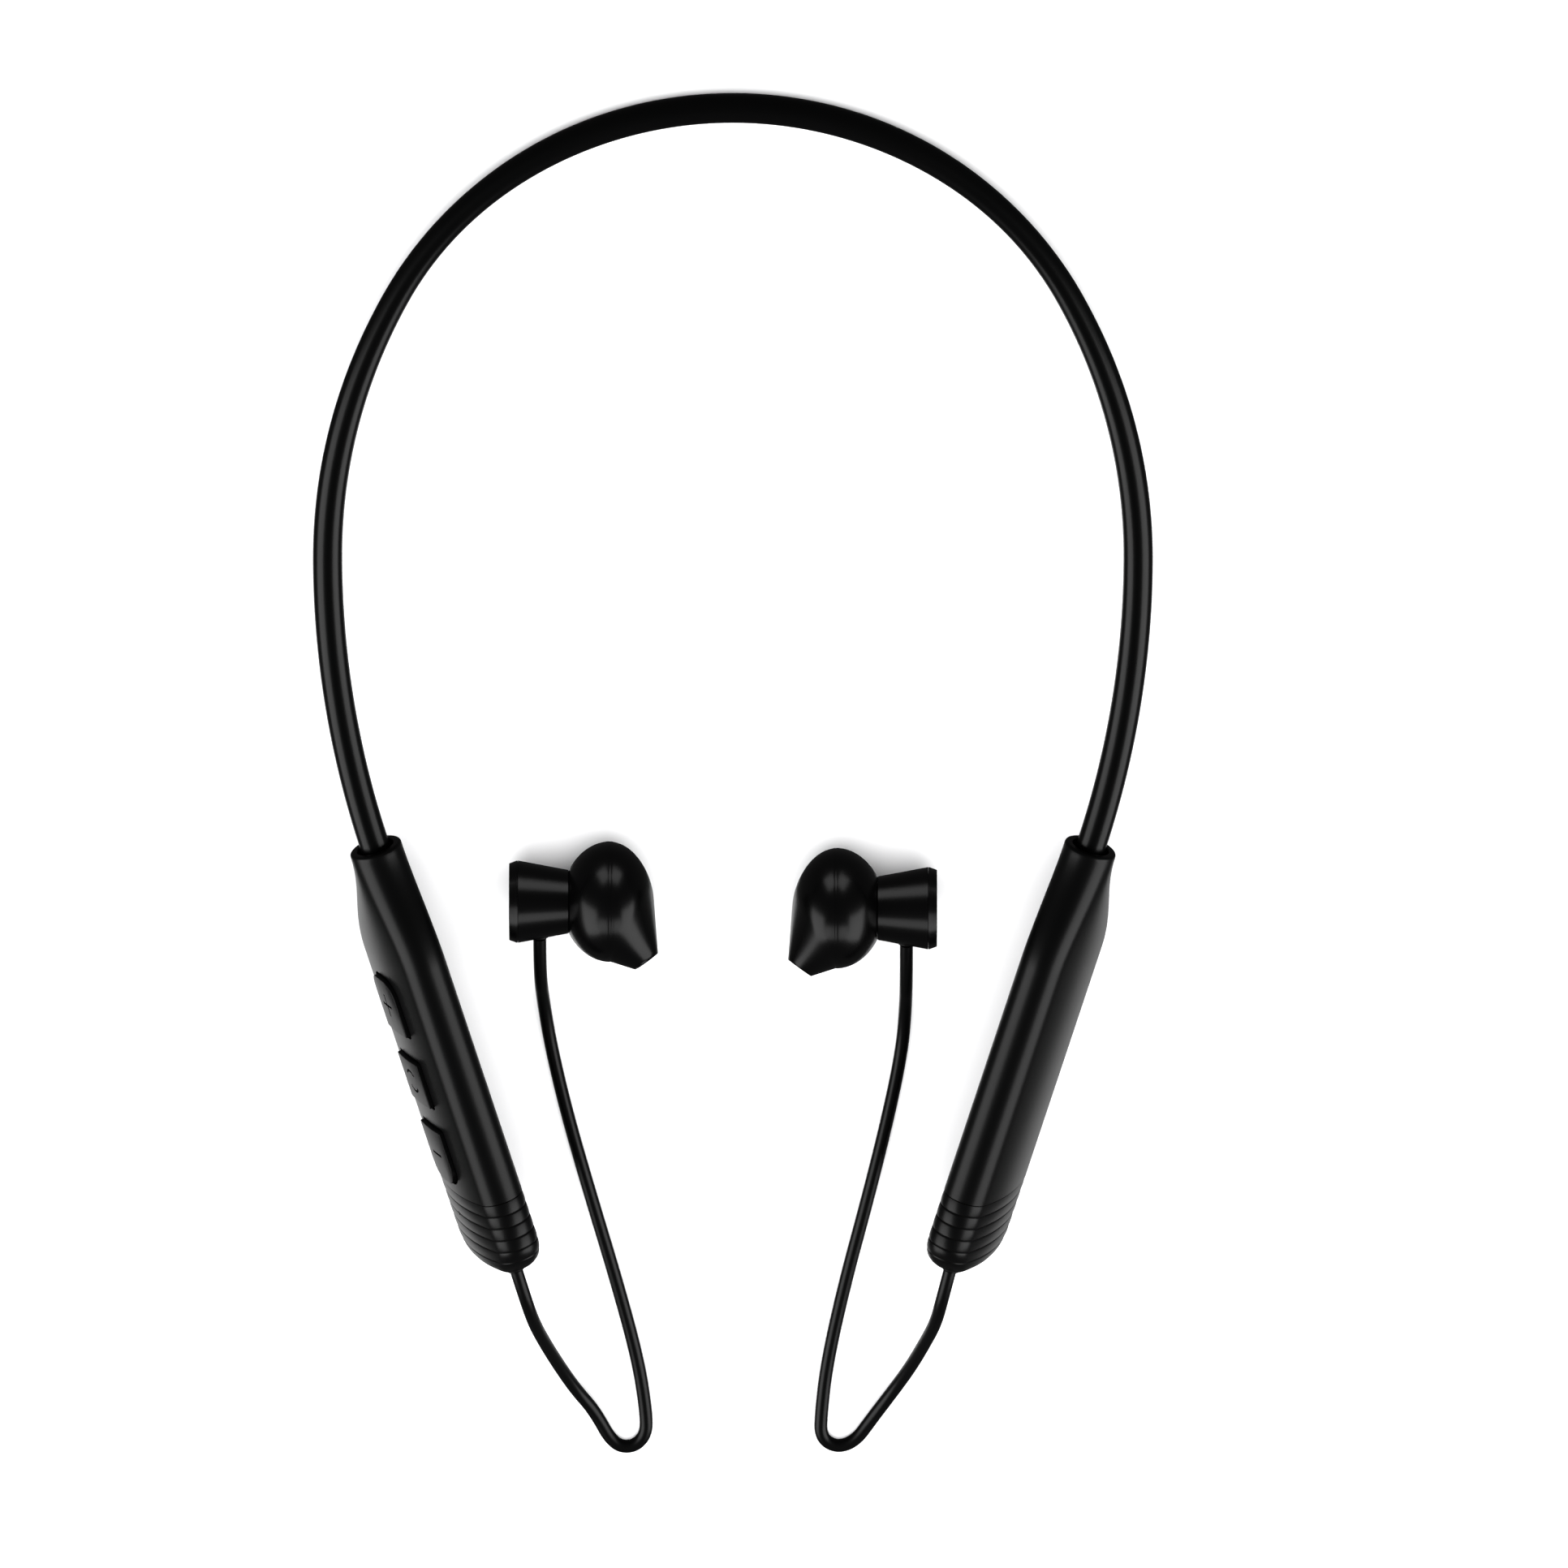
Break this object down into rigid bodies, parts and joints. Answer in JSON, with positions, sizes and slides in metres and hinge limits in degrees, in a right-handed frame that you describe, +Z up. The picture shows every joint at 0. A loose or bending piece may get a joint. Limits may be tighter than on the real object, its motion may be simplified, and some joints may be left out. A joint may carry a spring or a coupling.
{
  "type": "neckband earphones",
  "caption": "Wireless neckband earphones with a sprung rubber neckband, flat oval pods with push buttons, and magnetic earbuds on short cords.",
  "frame": {"origin": "under the middle of the box round the set without its cords, on the table", "axes": "+Y towards the top of the neckband's arc, +X towards the pod without buttons, +Z up"},
  "size_m": [0.126, 0.2286, 0.0255],
  "materials": {
    "sleeve_rubber": "semi-gloss",
    "pod_plastic": "satin",
    "button_plastic": "satin",
    "bud_plastic": "gloss",
    "bud_cap": "gloss",
    "cord_rubber": "satin",
    "grommet_rubber": "matte",
    "spring_steel": "drawn",
    "cable_jacket": "extruded",
    "ferrule_steel": "crimped",
    "board_laminate": "solder mask",
    "component_black": "moulded",
    "shield_metal": "plated",
    "membrane_silicone": "matte",
    "lamp_lens": "clear",
    "cell_pouch": "foil",
    "foam": "open cell",
    "magnet_nickel": "plated",
    "driver_metal": "stamped",
    "coil_copper": "wound",
    "diaphragm_film": "film",
    "mesh_steel": "woven, dark",
    "screw_steel": "plated"
  },
  "bodies": {
    "set": {"band_cable": "cable_jacket", "band_sleeve": "sleeve_rubber", "battery_cell": "cell_pouch", "battery_foam": "foam", "bluetooth_module": "shield_metal", "board_screws": "screw_steel", "charging_board": "board_laminate", "charging_socket": "shield_metal", "left_bud_grommet": "grommet_rubber", "left_cap_magnet": "magnet_nickel", "left_cord": "cord_rubber", "left_diaphragm": "diaphragm_film", "left_driver_frame": "driver_metal", "left_driver_magnet": "magnet_nickel", "left_front_shell": "bud_plastic", "left_magnet_cap": "bud_cap", "left_nozzle_mesh": "mesh_steel", "left_pod_grommet": "grommet_rubber", "left_pod_shell": "pod_plastic", "left_rear_cone": "bud_plastic", "left_rear_shell": "bud_plastic", "left_tip_cap": "pod_plastic", "left_voice_coil": "coil_copper", "left_wire_ferrule": "ferrule_steel", "main_board": "board_laminate", "memory_wire": "spring_steel", "microphone": "shield_metal", "power_chip": "component_black", "right_bud_grommet": "grommet_rubber", "right_cap_magnet": "magnet_nickel", "right_cord": "cord_rubber", "right_diaphragm": "diaphragm_film", "right_driver_frame": "driver_metal", "right_driver_magnet": "magnet_nickel", "right_front_shell": "bud_plastic", "right_magnet_cap": "bud_cap", "right_nozzle_mesh": "mesh_steel", "right_pod_grommet": "grommet_rubber", "right_pod_shell": "pod_plastic", "right_rear_cone": "bud_plastic", "right_rear_shell": "bud_plastic", "right_tip_cap": "pod_plastic", "right_voice_coil": "coil_copper", "right_wire_ferrule": "ferrule_steel", "socket_tongue": "component_black", "status_lamp": "lamp_lens", "switch_membrane": "membrane_silicone", "tact_switches": "shield_metal"},
    "plus_key": {"plus_button": "button_plastic"},
    "power_key": {"power_button": "button_plastic"},
    "minus_key": {"minus_button": "button_plastic"}
  },
  "joints": [
    {"name": "plus_press", "type": "slide", "parent": "set", "child": "plus_key", "axis": [0.8893, 0.2413, -0.3884], "range_m": [0, 0.0003], "stiffness_N_per_m": 4000, "springref_m": -0.0001},
    {"name": "power_press", "type": "slide", "parent": "set", "child": "power_key", "axis": [0.8893, 0.2413, -0.3884], "range_m": [0, 0.0003], "stiffness_N_per_m": 4000, "springref_m": -0.0001},
    {"name": "minus_press", "type": "slide", "parent": "set", "child": "minus_key", "axis": [0.8893, 0.2413, -0.3884], "range_m": [0, 0.0003], "stiffness_N_per_m": 4000, "springref_m": -0.0001}
  ]
}
